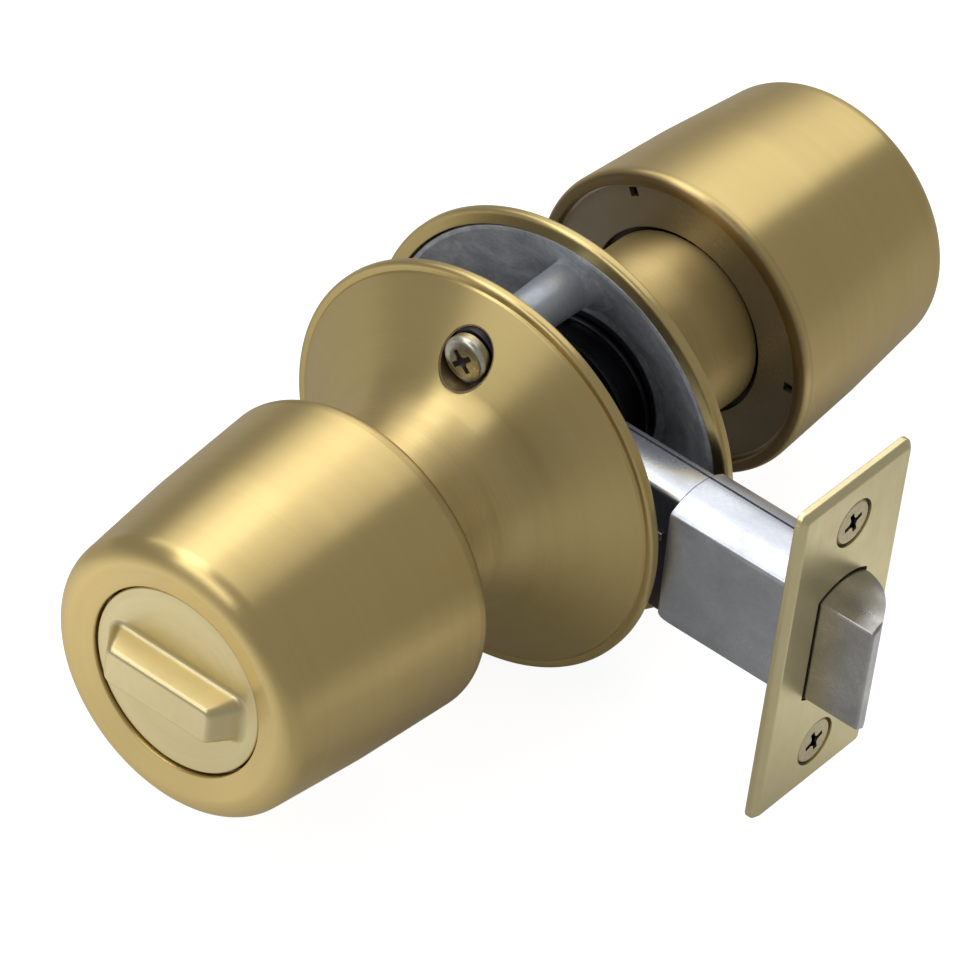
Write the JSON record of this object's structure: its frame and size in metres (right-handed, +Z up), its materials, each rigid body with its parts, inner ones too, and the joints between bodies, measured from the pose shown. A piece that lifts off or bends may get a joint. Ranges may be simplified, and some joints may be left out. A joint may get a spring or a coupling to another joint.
{
  "type": "tubular knob lock",
  "caption": "Privacy door lock with two brass knobs on flared roses, a thumb turn, and a tubular spring latch behind a rectangular faceplate.",
  "frame": {"origin": "where the knob axis crosses the latch's middle, at half the door's thickness", "axes": "+X along the latch towards the bolt, +Y along the knob axis towards the outside knob, +Z up"},
  "size_m": [0.0999, 0.1534, 0.065],
  "materials": {
    "inside_rose": "satin brushed brass plate",
    "outside_rose": "satin brushed brass plate",
    "inside_chassis": "raw zinc die casting",
    "outside_chassis": "raw zinc die casting",
    "upper_through_screw": "bright zinc plate",
    "lower_through_screw": "bright zinc plate",
    "inside_return_spring": "spring steel",
    "outside_return_spring": "spring steel",
    "latch_case": "bright zinc plate",
    "hub_housing": "dark plated steel",
    "spring_stop": "plated steel",
    "faceplate": "satin brushed brass plate",
    "upper_plate_screw": "brass plate",
    "lower_plate_screw": "brass plate",
    "inside_knob_shell": "satin brushed brass plate",
    "inside_back_disc": "polished brass plate",
    "inside_shank": "raw zinc die casting",
    "inside_retaining_ring": "spring steel",
    "inside_face_cup": "plated steel",
    "outside_knob_shell": "satin brushed brass plate",
    "outside_back_disc": "polished brass plate",
    "outside_shank": "raw zinc die casting",
    "outside_retaining_ring": "spring steel",
    "outside_face_cup": "plated steel",
    "outside_face_disc": "satin brass plate",
    "spindle": "plated steel",
    "thumb_turn": "satin brass plate",
    "turn_rod": "plated steel",
    "lock_crank": "plated steel",
    "emergency_release": "satin brass plate",
    "lock_slide": "plated steel",
    "latch_hub": "raw zinc die casting",
    "latch_bolt": "dull sintered steel",
    "bolt_tail": "plated steel",
    "tail_pin": "plated steel",
    "bolt_spring": "spring steel"
  },
  "bodies": {
    "fixed_parts": {"inside_rose": "inside_rose", "outside_rose": "outside_rose", "inside_chassis": "inside_chassis", "outside_chassis": "outside_chassis", "upper_through_screw": "upper_through_screw", "lower_through_screw": "lower_through_screw", "inside_return_spring": "inside_return_spring", "outside_return_spring": "outside_return_spring", "latch_case": "latch_case", "hub_housing": "hub_housing", "spring_stop": "spring_stop", "faceplate": "faceplate", "upper_plate_screw": "upper_plate_screw", "lower_plate_screw": "lower_plate_screw", "bolt_spring": "bolt_spring"},
    "inside_knob": {"inside_knob_shell": "inside_knob_shell", "inside_back_disc": "inside_back_disc", "inside_shank": "inside_shank", "inside_retaining_ring": "inside_retaining_ring", "inside_face_cup": "inside_face_cup"},
    "outside_knob": {"outside_knob_shell": "outside_knob_shell", "outside_back_disc": "outside_back_disc", "outside_shank": "outside_shank", "outside_retaining_ring": "outside_retaining_ring", "outside_face_cup": "outside_face_cup", "outside_face_disc": "outside_face_disc", "spindle": "spindle"},
    "thumb_turn": {"thumb_turn": "thumb_turn", "turn_rod": "turn_rod", "lock_crank": "lock_crank", "emergency_release": "emergency_release"},
    "lock_slide": {"lock_slide": "lock_slide"},
    "latch_hub": {"latch_hub": "latch_hub"},
    "bolt": {"latch_bolt": "latch_bolt", "bolt_tail": "bolt_tail", "tail_pin": "tail_pin"}
  },
  "joints": [
    {"name": "inside_knob_turn", "type": "hinge", "parent": "fixed_parts", "child": "inside_knob", "pos_m": [0, -0.055, 0], "axis": [0, -1, 0], "range_deg": [0, 60], "stiffness_Nm_per_rad": 0.25, "springref_deg": -20.05},
    {"name": "outside_knob_turn", "type": "hinge", "parent": "fixed_parts", "child": "outside_knob", "pos_m": [0, 0.055, 0], "axis": [0, -1, 0], "range_deg": [0, 60]},
    {"name": "hub_turn", "type": "hinge", "parent": "fixed_parts", "child": "latch_hub", "pos_m": [0, 0, 0], "axis": [0, -1, 0], "range_deg": [0, 60]},
    {"name": "bolt_slide", "type": "slide", "parent": "fixed_parts", "child": "bolt", "axis": [-1, 0, 0], "range_m": [0, 0.0092], "stiffness_N_per_m": 150, "springref_m": -0.012, "deforming": ["bolt_spring"]},
    {"name": "thumb_turn_turn", "type": "hinge", "parent": "inside_knob", "child": "thumb_turn", "pos_m": [0, -0.0738, 0], "axis": [0, -1, 0], "range_deg": [0, 90]},
    {"name": "lock_slide_out", "type": "slide", "parent": "inside_knob", "child": "lock_slide", "axis": [0, 0, 1], "range_m": [0, 0.004]}
  ],
  "couplings": [
    {"joint": "outside_knob_turn", "follows": "inside_knob_turn", "ratio": 1},
    {"joint": "hub_turn", "follows": "inside_knob_turn", "ratio": 1},
    {"joint": "bolt_slide", "follows": "inside_knob_turn", "m_per_rad": 0.008785},
    {"joint": "lock_slide_out", "follows": "thumb_turn_turn", "m_per_rad": 0.002546}
  ]
}
